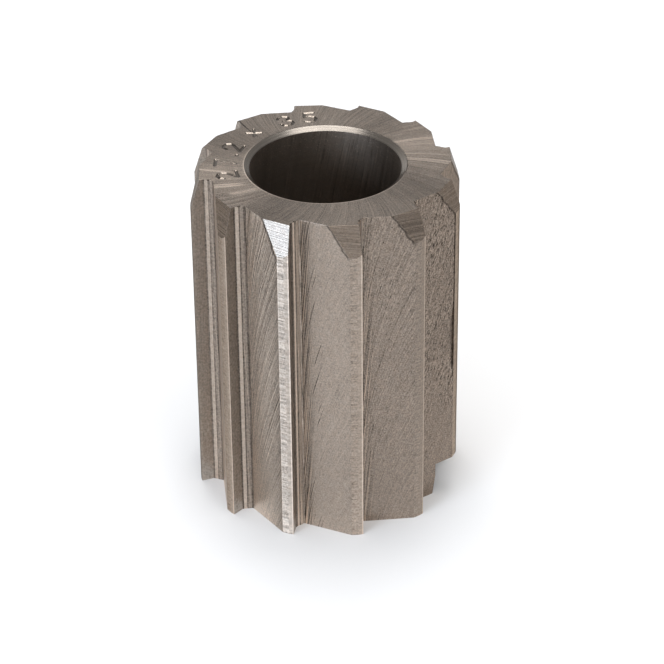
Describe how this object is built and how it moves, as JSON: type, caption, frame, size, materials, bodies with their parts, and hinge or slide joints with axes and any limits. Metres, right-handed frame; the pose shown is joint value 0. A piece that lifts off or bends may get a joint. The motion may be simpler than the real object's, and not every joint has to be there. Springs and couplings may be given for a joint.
{
  "type": "seat tube reamer",
  "caption": "Shell-type reamer cutter for bicycle seat tubes: hollow steel cylinder with straight relieved teeth, lead-in facets, a plain arbor bore and a cross drive slot.",
  "frame": {"origin": "bore axis at the underside, the face it stands on", "axes": "+Z along the bore axis, from the slotted underside to the top face with the lead-in facets; +X along the drive slot, through the cutting edge above its end"},
  "size_m": [0.0272, 0.0272, 0.0354],
  "materials": {
    "ground_steel": "milled and ground tool steel, satin, warm grey"
  },
  "bodies": {
    "root": {"reamer_cutter": "ground_steel"}
  },
  "joints": []
}
